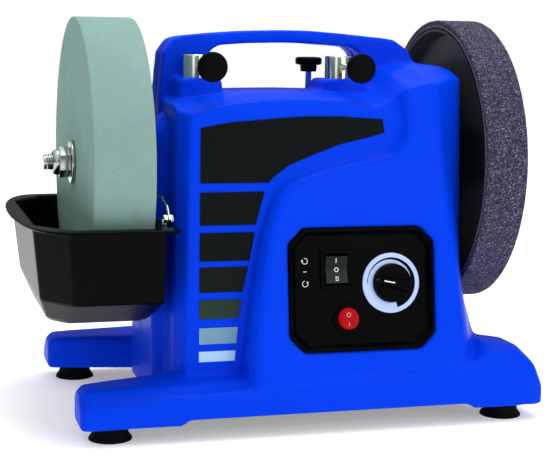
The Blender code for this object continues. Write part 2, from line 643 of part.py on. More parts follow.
board = place(box("control_board", (-30, -32, -34), (44, 30, -32.4), BOARD), 0, 0)

# Spindle with both wheels.
axis_z = SPINDLE_HEIGHT
bore = SHAFT_D / 2 + FIT
rod("spindle", (SPINDLE_L, 0, axis_z), "X", SHAFT_D / 2, SPINDLE_R - SPINDLE_L, STEEL)
stone_r = STONE_D / 2
turned("stone_wheel", (STONE_OUT, 0, axis_z), "X",
       [(stone_r, STONE_W - 1), (stone_r, 1), (stone_r - 1, 0), (bore, 0), (bore, STONE_W),
        (stone_r - 1, STONE_W)], STONE, 60)
hone_r = HONE_D / 2
rim_r = hone_r - BAND_T - FIT
turned("honing_band", (HONE_IN, 0, axis_z), "X",
       [(hone_r, HONE_W - 1), (hone_r, 1), (hone_r - 1, 0), (rim_r + FIT, 0), (rim_r + FIT, HONE_W),
        (hone_r - 1, HONE_W)], BAND, 60)
turned("honing_hub", (HONE_IN, 0, axis_z), "X",
       [(rim_r, HONE_W), (rim_r, 0), (rim_r - 3.5, 0), (rim_r - 6, 12), (22, 14), (18, 3), (18, 0), (bore, 0),
        (bore, HONE_W), (18, HONE_W), (22, 18), (rim_r - 6, 18), (rim_r - 3.5, HONE_W)], BLACK, 48)


def hexagon(width):
    return [(width / math.sqrt(3) * math.cos(math.radians(60 * i + 30)),
             width / math.sqrt(3) * math.sin(math.radians(60 * i + 30))) for i in range(6)]


gap = 0.15
for tag, start, way in (("left", STONE_OUT, -1.0), ("right", HONE_OUT, 1.0)):
    profile = [(WASHER_D / 2, WASHER_T - gap), (WASHER_D / 2, gap), (bore, gap), (bore, WASHER_T - gap)]
    turned(f"washer_{tag}", (start if way > 0 else start - WASHER_T, 0, axis_z), "X", profile, STEEL, 28)
    nut = prism(f"nut_{tag}", hexagon(NUT_AF), 0, 7.5, STEEL)
    dome = turned(f"nut_dome_{tag}", (0, 0, 0), "Z",
                  [(3, NUT_H), (7.6, NUT_H), (8.9, 9.5), (9.4, 7.2), (8.5, 6), (3, 6)], None, 24)
    boolean(nut, solid(dome), "UNION")
    boolean(nut, rod(f"nut_bore_{tag}", (0, 0, -5), "Z", bore, 30))
    nut = solid(nut)
    nut.rotation_euler = (0, way * math.pi / 2, 0)
    nut.location = Vector((start + way * WASHER_T, 0, axis_z)) * MM
for tag, x in (("left", STONE_IN + gap), ("right", HONE_IN - gap - FLANGE_T)):
    turned(f"flange_{tag}", (x, 0, axis_z), "X", [(FLANGE_D / 2, FLANGE_T), (FLANGE_D / 2, 0), (bore, 0),
                                                  (bore, FLANGE_T)], STEEL, 28)

# Bearings in two uprights that stand on the bottom plate.
BEARING_D, BEARING_W = 28.0, 8.0
UPRIGHT_X = (-81.5 * KX, 78.0 * KX)
stand_z = PLATE_Z + PLATE_T + FIT
race, journal = BEARING_D / 2, SHAFT_D / 2 + 0.08
for tag, x in zip(("left", "right"), UPRIGHT_X):
    turned(f"bearing_{tag}", (x, 0, axis_z), "X",
           [(race, BEARING_W), (race, 0), (journal, 0), (journal, BEARING_W)], STEEL, 24)
    upright = box(f"upright_{tag}", (x, -19, stand_z), (x + BEARING_W, 19, axis_z + 21), STEEL)
    boolean(upright, rod(f"upright_bore_{tag}", (x - 5, 0, axis_z), "X", BEARING_D / 2 + FIT, 20))

# Belt drive from the geared motor.
pulley_x = PULLEY_X * KX
pulley_r, motor_r = PULLEY_D / 2, MOTOR_PULLEY_D / 2
motor_z = MOTOR_Z * KZ
turned("driven_pulley", (pulley_x, 0, axis_z), "X",
       [(pulley_r, PULLEY_W), (pulley_r, 0), (pulley_r - 4, 0), (pulley_r - 4, 4), (13, 4), (13, 0),
        (bore, 0), (bore, PULLEY_W + 6), (13, PULLEY_W + 6), (13, 8), (pulley_r - 4, 8),
        (pulley_r - 4, PULLEY_W)], BLACK, 32)
BRACKET_T = 4.0
motor_x = pulley_x + PULLEY_W + 18.0
turned("motor_pulley", (pulley_x, 0, motor_z), "X",
       [(0, motor_x - FIT - pulley_x), (4, motor_x - FIT - pulley_x), (4, PULLEY_W), (motor_r, PULLEY_W),
        (motor_r, 0), (0, 0)], BLACK, 20)


def belt_line(offset):
    """Both tangents and both arcs, `offset` outside the pulleys, as (y, z)."""
    big, small, span = pulley_r + offset, motor_r + offset, axis_z - motor_z
    lean = math.asin((big - small) / span)
    points = []
    for radius, centre, start, sweep in ((big, axis_z, -lean, math.pi + 2 * lean),
                                         (small, motor_z, math.pi + lean, math.pi - 2 * lean)):
        for i in range(15):
            angle = start + sweep * i / 14
            points.append((radius * math.cos(angle), centre + radius * math.sin(angle)))
    return points


rings = [[(x, y, z) for y, z in belt_line(0.4 + BELT_T)] for x in (pulley_x + 1.5, pulley_x + PULLEY_W - 1.5)]
belt = loft("drive_belt", rings, RUBBER)
boolean(belt, loft("belt_inside",
                   [[(x, y, z) for y, z in belt_line(0.4)] for x in (pulley_x - 5, pulley_x + 20)]))
rod("motor", (motor_x, 0, motor_z), "X", MOTOR_D / 2, MOTOR_L, MOTOR)
bracket = box("motor_bracket", (motor_x - FIT - BRACKET_T, -33, stand_z),
              (motor_x - FIT, 33, motor_z + 34), STEEL)
boolean(bracket, rod("bracket_hole", (motor_x - 20, 0, motor_z), "X", 7.0, 40))

# Support sleeves and the screws that clamp the bar in them.
SLEEVE_FOOT = SPINDLE_HEIGHT + 36.0
SLEEVE_TOP = SPINDLE_HEIGHT + 60.0 + SLEEVE_RISE
CLAMP_Z = SPINDLE_HEIGHT + 68.0
REAR_SLEEVE_L = FACE + 6.0 - REAR_SLEEVE_Y


def sleeve_profile(length):
    outer, bore_r = SLEEVE_D / 2, BAR_D / 2 + 0.2
    return [(outer, length - 0.5), (outer, 0), (bore_r, 0), (bore_r, length), (outer - 0.5, length)]


def clamp(name, at, axis, stem):
    stem_r, head = CLAMP_SCREW_D / 2, CLAMP_D / 2
    return turned(name, at, axis,
                  [(0, stem + 11), (head - 1.2, stem + 11), (head, stem + 9.8), (head, stem + 6),
                   (head - 0.8, stem + 5), (6.5, stem + 5), (6.0, stem), (stem_r, stem), (stem_r, 0.6),
                   (stem_r - 0.6, 0), (0, 0)], BLACK, 20)


tip = BAR_D / 2 + 0.5
tap_r = CLAMP_SCREW_D / 2 + FIT
for tag, x in zip(("left", "right"), sleeve_x):
    front = turned(f"front_sleeve_{tag}", (x, FRONT_SLEEVE_Y, SLEEVE_FOOT), "Z",
                   sleeve_profile(SLEEVE_TOP - SLEEVE_FOOT), CHROME, 24)
    boolean(front, rod(f"front_tap_{tag}", (x, FRONT_SLEEVE_Y - 2, CLAMP_Z), "-Y", tap_r, 20, sides=16))
    clamp(f"front_clamp_{tag}", (x, FRONT_SLEEVE_Y - tip, CLAMP_Z), "-Y", 33.5)
    rear = turned(f"rear_sleeve_{tag}", (x, REAR_SLEEVE_Y, REAR_SLEEVE_Z), "Y", sleeve_profile(REAR_SLEEVE_L),
                  CHROME, 24)
    boolean(rear, rod(f"rear_tap_{tag}", (x, REAR_CLAMP_Y, REAR_SLEEVE_Z + 2), "Z", tap_r, 20, sides=16))
    clamp(f"rear_clamp_{tag}", (x, REAR_CLAMP_Y, REAR_SLEEVE_Z + tip), "Z", 25.5)

# Water tray, hung round the lower part of the grinding wheel.
RIM_Z = SPINDLE_HEIGHT - 34.0
tray_right = COLUMN_X - 1.2


def tray_ring(height, left, right, half_y, cut, inset=0.0):
    left, right, half_y = left + inset, right - inset, half_y - inset
    return [(left, -half_y + cut, height), (left + cut * 0.75, -half_y, height), (right, -half_y, height),
            (right, half_y, height), (left + cut * 0.75, half_y, height), (left, half_y - cut, height)]


def tray_body(name, inset=0.0, paint=None):
    tray_left = STONE_OUT - 36.0
    deep = stone_r + 5.0
    levels = ((-deep, 16, -8, 46, 14), (-(deep - 4), 12, -4, 58, 17), (-(deep - 21), 5, 0, 94, 26),
              (-36.0, 0, 0, 101, 28))
    rings = [tray_ring(axis_z + h + (inset if i == 0 else 0.0), tray_left + a, tray_right + b, y, cut, inset)
             for i, (h, a, b, y, cut) in enumerate(levels)]
    if inset:
        rings.append(tray_ring(RIM_Z + 5, tray_left - 1.5, tray_right, 102.5, 28, inset))
    return loft(name, rings, paint)


tray = tray_body("water_tray", 0.0, BLACK)
lip_turn = [math.radians(angle) for angle in range(0, 91, 9)]
lip_curve = [(TRAY_LIP + 40 * (1 - math.cos(t) ** 0.6), 110 * math.sin(t) ** 0.9) for t in lip_turn]
lip_corner = [(tray_right + 5, 110), (tray_right + 8, 106), (tray_right + 8, 60), (tray_right, 56)]
lip = lip_curve + lip_corner + [(x, -y) for x, y in lip_corner[::-1] + lip_curve[:0:-1]]
boolean(tray, loft("tray_rim", [[(x, y, z) for x, y in lip[::-1]] for z in (RIM_Z - 2.6, RIM_Z)]), "UNION")
boolean(tray, tray_body("tray_hollow", TRAY_WALL))
tray = solid(tray)

# Wire clips that hold the tray's corners against the tower.
CLIP_WIRE = 1.1
clip_x = tray_right + 4.0
for tag, sign in (("front", -1), ("rear", 1)):
    pivot = Vector((clip_x, sign * 86.0, RIM_Z + 4.0))
    path = [(0, -sign * 1.7, 1.8), (0, -sign * 7, 7.5), (0, -sign * 24, 12), (0, -sign * 37, 11),
            (-4.5, -sign * 40, 9)]
    clip = wire(f"tray_clip_{tag}", [Vector(p) for p in path], CLIP_WIRE, CHROME)
    eye = turned(f"clip_eye_{tag}", (0, 0, 0), "X",
                 [(3.4, 1.3), (3.4, -1.3), (1.8, -1.3), (1.8, 1.3)], None, 12)
    boolean(clip, solid(eye), "UNION")
    clip = solid(clip)
    clip.location = pivot * MM
    screw = turned(f"clip_screw_{tag}", pivot + Vector((-4.0, 0, 0)), "X",
                   [(0, 6.6), (2.4, 6.6), (2.8, 6.0), (2.8, 5.5), (1.4, 5.5), (1.4, 2.5), (3.0, 2.5),
                    (3.0, 0), (0, 0)], CHROME, 12)
    boolean(screw, box(f"clip_post_{tag}", (clip_x - 4 - 1, pivot.y - 2, RIM_Z + 0.3),
                       (clip_x - 4 + 2, pivot.y + 2, RIM_Z + 4)), "UNION")

# Cable gland in the rear wall.
turned("cord_gland", (GLAND_AT[0], FACE - 8, GLAND_AT[1]), "Y",
       [(3.5, 22), (5.0, 22), (5.5, 11), (8.5, 11), (8.5, 8.4), (6.0, 8.4), (6.0, 0), (3.5, 0)], BLACK, 20)

for obj in MAIN.objects:
    obj.location.x += SHIFT_X * MM
for obj in CUTTERS.objects:
    obj.location.x += SHIFT_X * MM
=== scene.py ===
"""Wet grinding sharpener: the finish of every piece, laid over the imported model, in metres."""

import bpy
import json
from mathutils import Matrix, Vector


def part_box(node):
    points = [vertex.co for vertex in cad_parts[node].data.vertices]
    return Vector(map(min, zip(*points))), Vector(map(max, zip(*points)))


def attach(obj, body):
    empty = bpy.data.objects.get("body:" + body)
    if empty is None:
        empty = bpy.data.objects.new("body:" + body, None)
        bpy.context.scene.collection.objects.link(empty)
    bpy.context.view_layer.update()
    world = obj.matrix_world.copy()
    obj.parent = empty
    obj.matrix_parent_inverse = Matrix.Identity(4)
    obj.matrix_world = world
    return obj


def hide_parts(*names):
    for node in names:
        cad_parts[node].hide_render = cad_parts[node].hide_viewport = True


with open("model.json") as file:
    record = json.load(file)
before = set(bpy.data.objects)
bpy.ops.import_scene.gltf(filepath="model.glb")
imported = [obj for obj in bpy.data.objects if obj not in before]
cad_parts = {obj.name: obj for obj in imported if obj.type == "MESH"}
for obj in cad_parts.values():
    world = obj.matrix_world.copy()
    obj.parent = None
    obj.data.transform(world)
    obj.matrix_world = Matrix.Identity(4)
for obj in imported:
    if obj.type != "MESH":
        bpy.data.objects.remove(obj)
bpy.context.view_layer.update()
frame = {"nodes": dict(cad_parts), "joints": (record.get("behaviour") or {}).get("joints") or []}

import json
import math

import bmesh
import bpy
import numpy as np
from mathutils import Matrix, Vector, noise
from mathutils.bvhtree import BVHTree

# Housing: two halves in glossy blue moulded plastic, screwed together from the rear, with the handle
# and the console moulded on. Each is its own solid, remeshed fine and relaxed so its edges round off.


def link(name, mesh, body, *nodes):
    """Puts a finished mesh in the scene on its body, in place of its nodes."""
    piece = bpy.data.objects.new(name, mesh)
    bpy.context.scene.collection.objects.link(piece)
    mesh.shade_smooth()
    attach(piece, body)
    if nodes:
        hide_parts(*nodes)
    return piece


def settled(mesh, kind, **settings):
    """The mesh that one modifier makes of this one."""
    bench = bpy.data.objects.new("bench", mesh)
    bpy.context.scene.collection.objects.link(bench)
    step = bench.modifiers.new("step", kind)
    for key, value in settings.items():
        setattr(step, key, value)
    graph = bpy.context.evaluated_depsgraph_get()
    made = bpy.data.meshes.new_from_object(bench.evaluated_get(graph))
    bpy.data.objects.remove(bench, do_unlink=True)
    return made


def places(mesh):
    """Every vertex as one array of x, y, z."""
    flat = np.empty(len(mesh.vertices) * 3, np.float32)
    mesh.vertices.foreach_get("co", flat)
    return flat.reshape(-1, 3)


def relaxed(mesh, passes, softness):
    """Rounds the edges by evening out each vertex with its neighbours, as far as softness lets it."""
    ends = np.empty(len(mesh.edges) * 2, np.int32)
    mesh.edges.foreach_get("vertices", ends)
    one, other = ends.reshape(-1, 2).T
    at = places(mesh).astype(np.float64)
    soft = softness(at)[:, None] * 0.5
    count = np.bincount(np.concatenate([one, other]), minlength=len(at))[:, None]
    for _ in range(passes):
        total = np.stack([np.bincount(one, at[other, k], len(at)) + np.bincount(other, at[one, k], len(at))
                          for k in range(3)], axis=1)
        at += soft * (total / count - at)
    mesh.vertices.foreach_set("co", at.astype(np.float32).ravel())
    mesh.update()


def moulded(node, voxel, passes, most, softness=lambda at: np.ones(len(at))):
    """A copy of a node's own solid with its edges rounded, as they leave a mould."""
    mesh = frame["nodes"][node].data.copy()
    merged = bmesh.new()
    merged.from_mesh(mesh)
    bmesh.ops.remove_doubles(merged, verts=merged.verts, dist=1e-6)
    merged.to_mesh(mesh)
    merged.free()
    mesh.materials.clear()
    mesh = settled(mesh, "REMESH", mode="VOXEL", voxel_size=voxel)
    relaxed(mesh, passes, softness)
    ratio = most / (2 * len(mesh.polygons))
    return settled(mesh, "DECIMATE", ratio=ratio) if ratio < 1.0 else mesh


def finish(name, colour, rough, metal=0.0, grain=900.0, bump=0.05, mottle=0.06, shine=0.5, stretch=(1, 1, 1)):
    """A surface with broad mottling, a fine grain in relief and an uneven gloss."""
    made = bpy.data.materials.new(name)
    made.use_nodes = True
    nodes, wires = made.node_tree.nodes, made.node_tree.links
    shader = nodes["Principled BSDF"]
    shader.inputs["Metallic"].default_value = metal
    shader.inputs["Specular IOR Level"].default_value = shine
    where = nodes.new("ShaderNodeTexCoord")
    turn = nodes.new("ShaderNodeMapping")
    turn.inputs["Scale"].default_value = stretch
    wires.new(where.outputs["Object"], turn.inputs["Vector"])
    broad = nodes.new("ShaderNodeTexNoise")
    broad.inputs["Scale"].default_value = 22.0
    broad.inputs["Detail"].default_value = 4.0
    fine = nodes.new("ShaderNodeTexNoise")
    fine.inputs["Scale"].default_value = grain
    fine.inputs["Detail"].default_value = 2.0
    for pattern in (broad, fine):
        wires.new(turn.outputs["Vector"], pattern.inputs["Vector"])
    tint = nodes.new("ShaderNodeValToRGB")
    tint.color_ramp.elements[0].position = 0.3
    tint.color_ramp.elements[1].position = 0.7
    tint.color_ramp.elements[0].color = (*[c * (1 - mottle) for c in colour], 1)
    tint.color_ramp.elements[1].color = (*[min(1.0, c * (1 + mottle)) for c in colour], 1)
    wires.new(broad.outputs["Fac"], tint.inputs["Fac"])
    wires.new(tint.outputs["Color"], shader.inputs["Base Color"])
    gloss = nodes.new("ShaderNodeMapRange")
    gloss.inputs["To Min"].default_value = rough * 0.85
    gloss.inputs["To Max"].default_value = min(1.0, rough * 1.15)
    wires.new(fine.outputs["Fac"], gloss.inputs["Value"])
    wires.new(gloss.outputs["Result"], shader.inputs["Roughness"])
    relief = nodes.new("ShaderNodeBump")
    relief.inputs["Strength"].default_value = bump
    relief.inputs["Distance"].default_value = 0.0002
    wires.new(fine.outputs["Fac"], relief.inputs["Height"])
    wires.new(relief.outputs["Normal"], shader.inputs["Normal"])
    return made


SEAM_HALF, SEAM_FADE = 0.0012, 0.004       # kept crisp each side of the parting line, then fading
SEAT_R, SEAT_FADE = 0.0125, 0.003          # kept crisp round each front sleeve's seat
SEAT_RISE = 0.012                          # the seat starts this far above the sleeve's foot


def shell_softness(at):
    """Full on the outside, little at the parting line and round the bored holes."""
    soft = np.clip((np.abs(at[:, 1]) - SEAM_HALF) / SEAM_FADE, 0.05, 1.0)
    for sleeve in ("front_sleeve_left", "front_sleeve_right"):
        low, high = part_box(sleeve)
        away = np.hypot(at[:, 0] - (low.x + high.x) / 2, at[:, 1] - (low.y + high.y) / 2)
        near = np.clip((away - SEAT_R) / SEAT_FADE, 0.15, 1.0)
        soft = np.where(at[:, 2] > low.z + SEAT_RISE, np.minimum(soft, near), soft)
    return soft


blue = finish("blue_moulding", (0.0, 0.043, 0.73), 0.36, grain=1400.0, bump=0.03, mottle=0.03, shine=0.03)
for node in ("front_housing", "rear_housing"):
    half = moulded(node, voxel=0.0012, passes=12, most=170000, softness=shell_softness)
    half.materials.append(blue)
    link(f"{node}_moulding", half, "machine_frame", node)

# Label: seven printed film tiles on the front face, black at the top, then greys towards the base,
# with the blue of the housing between them. Their right edges follow the console's curve.
tile_bands = ((36.5, -8.0), (-14.0, -36.0), (-41.0, -60.0), (-64.0, -81.0), (-86.0, -99.0), (-105.0, -116.0),
              (-121.0, -128.0))
tile_greys = (*[(0.004, 0.0055, 0.0055)] * 3, (0.006, 0.009, 0.007), (0.022, 0.042, 0.028),
              (0.17, 0.33, 0.42), (0.42, 0.68, 0.85))
film_low, film_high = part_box("label_film")
spindle_low, spindle_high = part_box("spindle")
SPINDLE_Z = (spindle_low.z + spindle_high.z) / 2
sweep_heights = (-0.128, -0.099, -0.081, -0.057, -0.034, -0.015, -0.006, 0.003, 0.0105, 0.0175, 0.022, 0.025)
sweep_reach = (0.0245, 0.027, 0.0295, 0.0345, 0.0385, 0.0435, 0.048, 0.0595, 0.0775, 0.0965, 0.1165, 0.1275)
crown_reach = (0.0, 0.02, 0.053, 0.071, 0.096, 0.126, 0.1275)
crown_heights = (0.0285, 0.032, 0.0348, 0.036, 0.036, 0.034, 0.025)
labels = bmesh.new()
for band, (top, bottom) in enumerate(tile_bands):
    heights = np.linspace(bottom, min(top, 25.0), 24) / 1000
    right = [(film_low.x + float(np.interp(h, sweep_heights, sweep_reach)), h) for h in heights]
    left = [(film_low.x, h) for h in (bottom / 1000, min(top, 28.5) / 1000)]
    outline = right + [left[1], left[0]]
    if band == 0:
        over = [(film_low.x + x, h) for x, h in zip(crown_reach[::-1], crown_heights[::-1])][1:]
        outline = right + over[:-1] + [left[1], left[0]]
    corners = [labels.verts.new((x, film_high.y, SPINDLE_Z + h)) for x, h in outline]
    face = labels.faces.new(corners)
    face.material_index = band
    raised = bmesh.ops.extrude_face_region(labels, geom=[face])
    bmesh.ops.translate(labels, verts=[v for v in raised["geom"] if isinstance(v, bmesh.types.BMVert)],
                        vec=(0, film_low.y - film_high.y, 0))
bmesh.ops.triangulate(labels, faces=[f for f in labels.faces if len(f.verts) > 4])
bmesh.ops.recalc_face_normals(labels, faces=labels.faces)
label_mesh = bpy.data.meshes.new("label_tiles")
labels.to_mesh(label_mesh)
labels.free()
for band, grey in enumerate(tile_greys):
    label_mesh.materials.append(finish(f"film_tile_{band + 1}", grey, 0.3, grain=2200.0, bump=0.02,
                                       mottle=0.1, shine=0.04))
label_tiles = link("label_tiles", label_mesh, "machine_frame", "label_film")
label_mesh.shade_flat()

# Control panel: a dished plate in black moulded plastic with a sloped rim, let into the leaning
# console. White generic marks are printed on it: turn one way, stop, turn the other way.
black = finish("black_moulding", (0.0004, 0.0006, 0.0007), 0.38, grain=1500.0, bump=0.05, mottle=0.2,
               shine=0.03)
panel_mesh = moulded("control_panel", 0.0005, 4, 60000)
panel_mesh.materials.append(black)
panel = link("control_panel_moulding", panel_mesh, "machine_frame", "control_panel")

LEAN = math.radians(8.0)
DIAL = Vector((0.021, 0.0035, 0.0))
knob_joint = next(j for j in frame["joints"] if j["name"] == "speed_knob_turn")
facing = Matrix.Rotation(math.pi / 2 - LEAN, 4, "X")
panel_at = Matrix.Translation(Vector(knob_joint["pos_m"]) - facing @ DIAL) @ facing
white_print = finish("white_print", (0.75, 0.78, 0.8), 0.5, grain=3000.0, bump=0.02)


def ring_mark(bm, middle, radius, width, start=0.0, sweep=math.tau, steps=32):
    """A flat printed arc or ring in the panel's plane."""
    rows = []
    for i in range(steps + 1):
        angle = start + sweep * i / steps
        way = Vector((math.cos(angle), math.sin(angle), 0))
        rows.append([bm.verts.new(middle + way * (radius + side * width / 2)) for side in (-1, 1)])
    for (a, b), (c, d) in zip(rows, rows[1:]):
        bm.faces.new((a, b, d, c))


def bar_mark(bm, middle, wide, high, turn=0.0):
    """A flat printed bar in the panel's plane."""
    spin = Matrix.Rotation(turn, 4, "Z")
    shape = bmesh.ops.create_grid(bm, x_segments=4, y_segments=4, size=0.5)
    bmesh.ops.transform(bm, verts=shape["verts"],
                        matrix=Matrix.Translation(middle) @ spin @ Matrix.Diagonal((wide, high, 1, 1)))


LINE = 0.0004              # width of a fine printed line


def arrow_mark(bm, middle, radius, way):
    """A printed turning arrow: an open ring with its head at one end."""
    start, sweep = math.radians(100.0), -way * math.radians(290.0)
    ring_mark(bm, middle, radius, LINE, start, sweep)
    tip = start + sweep
    at = middle + Vector((math.cos(tip), math.sin(tip), 0)) * radius
    heading = tip - way * math.pi / 2
    points = [at + Vector((math.cos(heading + turn), math.sin(heading + turn), 0)) * 0.0010
              for turn in (0.0, 2.2, -2.2)]
    bm.faces.new([bm.verts.new(p) for p in points])


def printed(name, bm, ground, paint, body, lift=0.00006):
    """Lays marks drawn in the panel's plane down on a piece, a hair above its surface."""
    below = BVHTree.FromPolygons([v.co for v in ground.data.vertices],
                                 [p.vertices for p in ground.data.polygons])
    out = (facing @ Vector((0, 0, 1))).normalized()
    bmesh.ops.remove_doubles(bm, verts=bm.verts, dist=1e-6)
    for vert in bm.verts:
        start = panel_at @ vert.co + out * 0.02
        hit = below.ray_cast(start, -out)[0]
        vert.co = (hit if hit else panel_at @ vert.co) + out * lift
    bmesh.ops.recalc_face_normals(bm, faces=bm.faces)
    if bm.faces[:] and sum((f.normal.dot(out) for f in bm.faces)) < 0:
        bmesh.ops.reverse_faces(bm, faces=bm.faces)
    raised = bmesh.ops.extrude_face_region(bm, geom=bm.faces[:])
    bmesh.ops.translate(bm, verts=[v for v in raised["geom"] if isinstance(v, bmesh.types.BMVert)],
                        vec=out * 0.00004)
    bmesh.ops.recalc_face_normals(bm, faces=bm.faces)
    mesh = bpy.data.meshes.new(name)
    bm.to_mesh(mesh)
    bm.free()
    mesh.materials.append(paint)
    made = link(name, mesh, body)
    mesh.shade_flat()
    return made


marks = bmesh.new()
MARKS_X, ARROW_R = -0.0395, 0.0019
arrow_mark(marks, Vector((MARKS_X, 0.0197, 0)), ARROW_R, 1)
bar_mark(marks, Vector((MARKS_X, 0.0126, 0)), 0.0024, LINE)
arrow_mark(marks, Vector((MARKS_X, 0.0045, 0)), ARROW_R, -1)
printed("panel_marks", marks, panel, white_print, "machine_frame")

# Direction rocker: a black plastic key in its square bezel, hollowed in the middle. It clicks to
# one, stop and two, which are marked on it.
bezel_mesh = moulded("direction_bezel", 0.00028, 3, 40000)
bezel_mesh.materials.append(black)
link("direction_bezel_moulding", bezel_mesh, "machine_frame", "direction_bezel")
key_black = finish("key_black", (0.005, 0.010, 0.010), 0.3, grain=1800.0, bump=0.03, mottle=0.15, shine=0.12)
key_mesh = moulded("direction_rocker", 0.00022, 4, 24000)
key_mesh.materials.append(key_black)
key = link("direction_key", key_mesh, "direction_rocker_body", "direction_rocker")
key_at = Vector((-0.018, 0.0135, 0))
marks = bmesh.new()
bar_mark(marks, key_at + Vector((-0.0005, 0.0062, 0)), 0.0005, 0.0030)
ring_mark(marks, key_at, 0.0013, 0.0005)
for side in (-1, 1):
    bar_mark(marks, key_at + Vector((side * 0.0007, -0.0060, 0)), LINE, 0.0024)
    bar_mark(marks, key_at + Vector((0, -0.0060 + side * 0.0012, 0)), 0.0022, LINE)
printed("direction_marks", marks, key, white_print, "direction_rocker_body")

# Power rocker: a round red key in a black bezel, pressed in at the top, where it is off.
round_bezel_mesh = moulded("power_bezel", 0.00028, 3, 40000)
round_bezel_mesh.materials.append(black)
link("power_bezel_moulding", round_bezel_mesh, "machine_frame", "power_bezel")
red = finish("red_key", (0.36, 0.0, 0.003), 0.28, grain=1800.0, bump=0.02, mottle=0.08, shine=0.05)
red_mesh = moulded("power_rocker", 0.00022, 5, 24000)
red_mesh.materials.append(red)
red_key = link("power_key", red_mesh, "power_rocker_body", "power_rocker")
red_at = Vector((-0.010, -0.020, 0))
pink_print = finish("pale_print", (0.62, 0.25, 0.27), 0.5, grain=3000.0, bump=0.02)
marks = bmesh.new()
ring_mark(marks, red_at + Vector((0, 0.0030, 0)), 0.0013, 0.0005)
bar_mark(marks, red_at + Vector((0, -0.0034, 0)), 0.0005, 0.0026)
printed("power_marks", marks, red_key, pink_print, "power_rocker_body")

# Speed control: a pale dial plate with a black crescent that widens clockwise, and a black pointer
# knob with a white line, moulded over the potentiometer's shaft.
pale = finish("dial_enamel", (0.42, 0.55, 0.9), 0.3, metal=0.1, grain=2500.0, bump=0.02, mottle=0.03)
plate_mesh = moulded("dial_plate", 0.00028, 2, 40000)
plate_mesh.materials.append(pale)
plate = link("dial_plate_disc", plate_mesh, "machine_frame", "dial_plate")
crescent = bmesh.new()
OUTER_R, THIN_R, THICK_R = 0.0172, 0.0168, 0.0128
crescent_steps = 72
rows = []
for i in range(crescent_steps + 1):
    share = i / crescent_steps
    angle = math.radians(180.0 - 256.0 * share)
    inner = THIN_R + (THICK_R - THIN_R) * share ** 1.3
    rows.append([crescent.verts.new(DIAL + Vector((math.cos(angle), math.sin(angle), 0)) * r)
                 for r in (inner, OUTER_R)])
for (a, b), (c, d) in zip(rows, rows[1:]):
    crescent.faces.new((a, b, d, c))
printed("dial_crescent", crescent, plate, black, "machine_frame", 0.00003)
knob_mesh = moulded("speed_knob", 0.0003, 4, 50000)
knob_mesh.materials.append(black)
knob = link("pointer_knob", knob_mesh, "speed_knob_body", "speed_knob")
pointer = bmesh.new()
POINTER = math.radians(-12.0)
POINTER_OUT, POINTER_LONG, POINTER_WIDE = 0.0070, 0.0100, 0.0008
pointer_at = DIAL + Vector((-math.cos(POINTER), -math.sin(POINTER), 0)) * POINTER_OUT
bar_mark(pointer, pointer_at, POINTER_LONG, POINTER_WIDE, POINTER)
printed("pointer_line", pointer, knob, white_print, "speed_knob_body")

# Water tray: glossy black moulded plastic with a rolled lip, hung round the wheel. The wire clips at
# its corners hold it to the housing.
tray_black = finish("tray_black", (0.0005, 0.0007, 0.0008), 0.28, grain=500.0, bump=0.02, mottle=0.25,
                    shine=0.04)
tray_mesh = moulded("water_tray", 0.0009, 9, 150000)
tray_mesh.materials.append(tray_black)
link("water_tray_moulding", tray_mesh, "tray", "water_tray")
chrome = finish("bright_chrome", (0.60, 0.68, 0.62), 0.16, metal=1.0, grain=700.0, bump=0.015, mottle=0.06)
for tag in ("front", "rear"):
    clip_mesh = moulded(f"tray_clip_{tag}", 0.00022, 5, 40000)
    clip_mesh.materials.append(chrome)
    link(f"wire_clip_{tag}", clip_mesh, f"tray_clip_{tag}_body", f"tray_clip_{tag}")
    screw_mesh = moulded(f"clip_screw_{tag}", 0.0002, 2, 20000)
    screw_mesh.materials.append(chrome)
    link(f"clip_pin_{tag}", screw_mesh, "tray", f"clip_screw_{tag}")

# Grinding wheel: a plain vitrified disc, grey-green and evenly porous. Its edges are slightly
# rounded by use.


def turned(profile, axis_at, steps, edge=0.0, segments=2):
    """A closed profile of (radius, distance along X), turned about the X axis, then moved to its place."""
    bm = bmesh.new()
    ring = [bm.verts.new((x, 0, r)) for r, x in profile]
    for a, b in zip(ring, ring[1:] + ring[:1]):
        if min(a.co.z, b.co.z) > 0 or a.co.z != b.co.z:
            bm.edges.new((a, b))
    bmesh.ops.spin(bm, geom=bm.verts[:] + bm.edges[:], cent=(0, 0, 0), axis=(1, 0, 0), angle=math.tau,
                   steps=steps, use_merge=True)
    bmesh.ops.remove_doubles(bm, verts=bm.verts, dist=1e-6)
    bmesh.ops.recalc_face_normals(bm, faces=bm.faces)
    if edge:
        sharp = [e for e in bm.edges if e.is_manifold and e.calc_face_angle(0.0) > math.radians(25.0)]
        bmesh.ops.bevel(bm, geom=sharp, offset=edge, segments=segments, affect="EDGES", profile=0.5,
                        material=-1, clamp_overlap=True)
    bmesh.ops.translate(bm, verts=bm.verts, vec=axis_at)
    return bm


def to_mesh(name, bm, paint, crease=35.0):
    """Writes the bmesh out and keeps its hard edges."""
    bmesh.ops.recalc_face_normals(bm, faces=bm.faces)
    mesh = bpy.data.meshes.new(name)
    bm.to_mesh(mesh)
    bm.free()
    mesh.materials.append(paint)
    mesh.shade_smooth()
    mesh.set_sharp_from_angle(angle=math.radians(crease))
    return mesh


